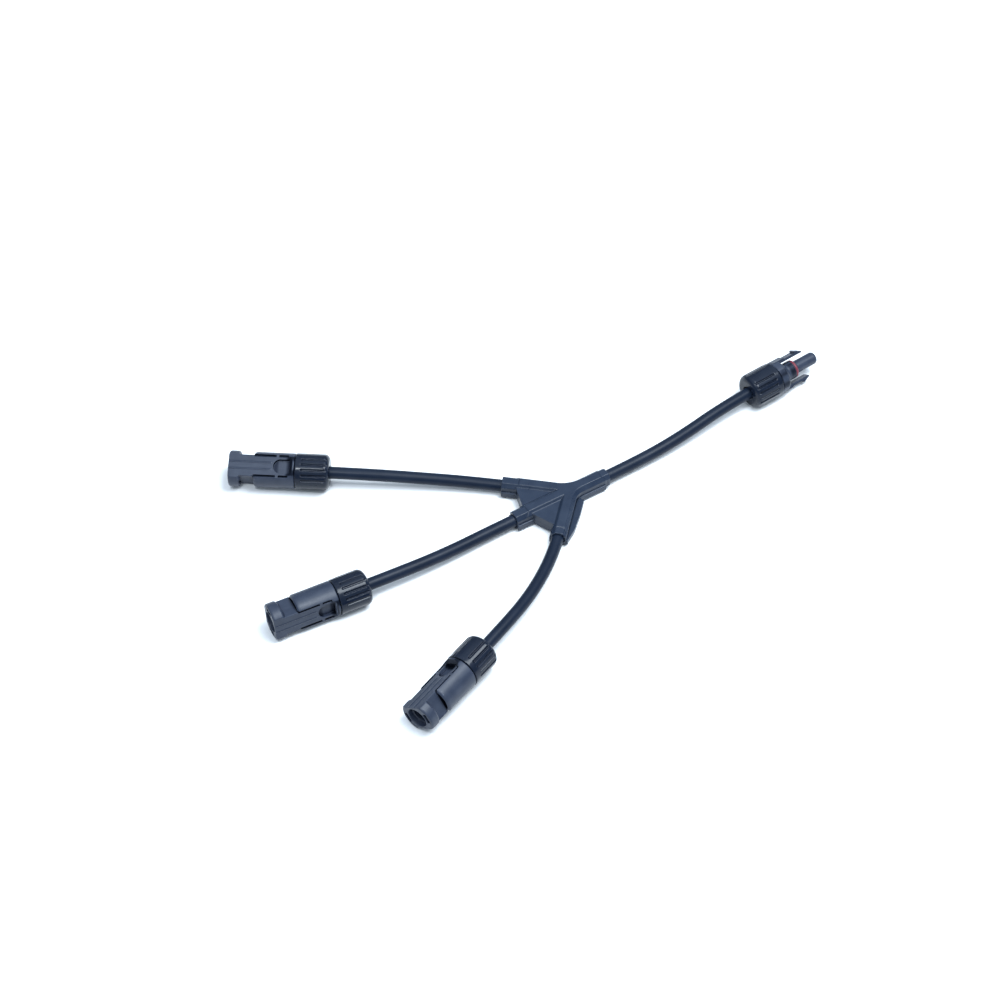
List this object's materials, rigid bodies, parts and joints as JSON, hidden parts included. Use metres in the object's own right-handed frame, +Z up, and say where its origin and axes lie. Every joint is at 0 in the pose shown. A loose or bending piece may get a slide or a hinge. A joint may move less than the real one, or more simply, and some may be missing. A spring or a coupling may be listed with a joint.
{
  "type": "solar cable connector",
  "caption": "Branch lead for solar panels: pin connectors on flexible leads meet in a flat moulded splitter, whose trunk lead ends in a latching socket connector.",
  "frame": {"origin": "on the splitter's flat underside, where the axes of its bosses cross", "axes": "+X along the trunk boss towards the socket connector, +Z up from the surface the lead lies on, +Y to the left of the trunk"},
  "size_m": [0.3403, 0.2057, 0.019],
  "materials": {
    "housing_plastic": "satin glass-filled moulding, dark blue-grey",
    "nut_plastic": "glossier dark moulding",
    "splitter_moulding": "satin overmoulding",
    "cable_jacket": "smooth extruded jacket",
    "cage_plastic": "satin grey moulding",
    "seal_rubber": "smooth rubber",
    "o_ring_rubber": "smooth silicone rubber",
    "bare_copper": "stranded copper",
    "tinned_copper": "tin-plated copper",
    "band_alloy": "spring alloy, bright",
    "spring_steel": "bright spring steel"
  },
  "bodies": {
    "lead": {"splitter_shell": "splitter_moulding", "splice_ferrule": "tinned_copper", "cable_a_jacket": "cable_jacket", "cable_a_copper": "bare_copper", "cable_seal_a": "seal_rubber", "retaining_clip_a": "spring_steel", "cable_b_jacket": "cable_jacket", "cable_b_copper": "bare_copper", "cable_seal_b": "seal_rubber", "retaining_clip_b": "spring_steel", "cable_c_jacket": "cable_jacket", "cable_c_copper": "bare_copper", "cable_seal_c": "seal_rubber", "retaining_clip_c": "spring_steel", "cable_d_jacket": "cable_jacket", "cable_d_copper": "bare_copper", "cable_seal_d": "seal_rubber", "retaining_clip_d": "spring_steel", "pin_housing_a": "housing_plastic", "pin_contact_a": "tinned_copper", "pin_housing_b": "housing_plastic", "pin_contact_b": "tinned_copper", "pin_housing_c": "housing_plastic", "pin_contact_c": "tinned_copper", "socket_housing_d": "housing_plastic", "socket_contact_d": "tinned_copper", "contact_band_d": "band_alloy", "o_ring_d": "o_ring_rubber"},
    "cage_a": {"clamp_cage_a": "cage_plastic"},
    "nut_a": {"gland_nut_a": "nut_plastic"},
    "cage_b": {"clamp_cage_b": "cage_plastic"},
    "nut_b": {"gland_nut_b": "nut_plastic"},
    "cage_c": {"clamp_cage_c": "cage_plastic"},
    "nut_c": {"gland_nut_c": "nut_plastic"},
    "cage_d": {"clamp_cage_d": "cage_plastic"},
    "nut_d": {"gland_nut_d": "nut_plastic"},
    "latch_upper": {"latch_arm_d_upper": "housing_plastic"},
    "latch_lower": {"latch_arm_d_lower": "housing_plastic"}
  },
  "joints": [
    {"name": "gland_travel_a", "type": "slide", "parent": "lead", "child": "cage_a", "axis": [0.8211, -0.5707, 0], "range_m": [0, 0.0075]},
    {"name": "nut_turn_a", "type": "hinge", "parent": "cage_a", "child": "nut_a", "pos_m": [-0.117, 0.0855, 0.0095], "axis": [0.8211, -0.5707, 0], "range_deg": [0, 1800]},
    {"name": "gland_travel_b", "type": "slide", "parent": "lead", "child": "cage_b", "axis": [0.9959, -0.0906, 0], "range_m": [0, 0.0075]},
    {"name": "nut_turn_b", "type": "hinge", "parent": "cage_b", "child": "nut_b", "pos_m": [-0.1405, 0.0012, 0.0095], "axis": [0.9959, -0.0906, 0], "range_deg": [0, 1800]},
    {"name": "gland_travel_c", "type": "slide", "parent": "lead", "child": "cage_c", "axis": [0.9323, 0.3616, 0], "range_m": [0, 0.0075]},
    {"name": "nut_turn_c", "type": "hinge", "parent": "cage_c", "child": "nut_c", "pos_m": [-0.1094, -0.0716, 0.0095], "axis": [0.9323, 0.3616, 0], "range_deg": [0, 1800]},
    {"name": "gland_travel_d", "type": "slide", "parent": "lead", "child": "cage_d", "axis": [-0.9979, -0.0645, 0], "range_m": [0, 0.0075]},
    {"name": "nut_turn_d", "type": "hinge", "parent": "cage_d", "child": "nut_d", "pos_m": [0.1361, 0.00792, 0.0095], "axis": [-0.9979, -0.0645, 0], "range_deg": [0, 1800]},
    {"name": "latch_flex_upper", "type": "hinge", "parent": "lead", "child": "latch_upper", "pos_m": [0.13771, 0.01244, 0.01557], "axis": [-0.0522, 0.8073, -0.5878], "range_deg": [0, 5], "stiffness_Nm_per_rad": 1.3},
    {"name": "latch_flex_lower", "type": "hinge", "parent": "lead", "child": "latch_lower", "pos_m": [0.13828, 0.00364, 0.00343], "axis": [0.0522, -0.8073, 0.5878], "range_deg": [0, 5], "stiffness_Nm_per_rad": 1.3}
  ],
  "couplings": [
    {"joint": "gland_travel_a", "follows": "nut_turn_a", "m_per_rad": 0.0002387},
    {"joint": "gland_travel_b", "follows": "nut_turn_b", "m_per_rad": 0.0002387},
    {"joint": "gland_travel_c", "follows": "nut_turn_c", "m_per_rad": 0.0002387},
    {"joint": "gland_travel_d", "follows": "nut_turn_d", "m_per_rad": 0.0002387}
  ]
}
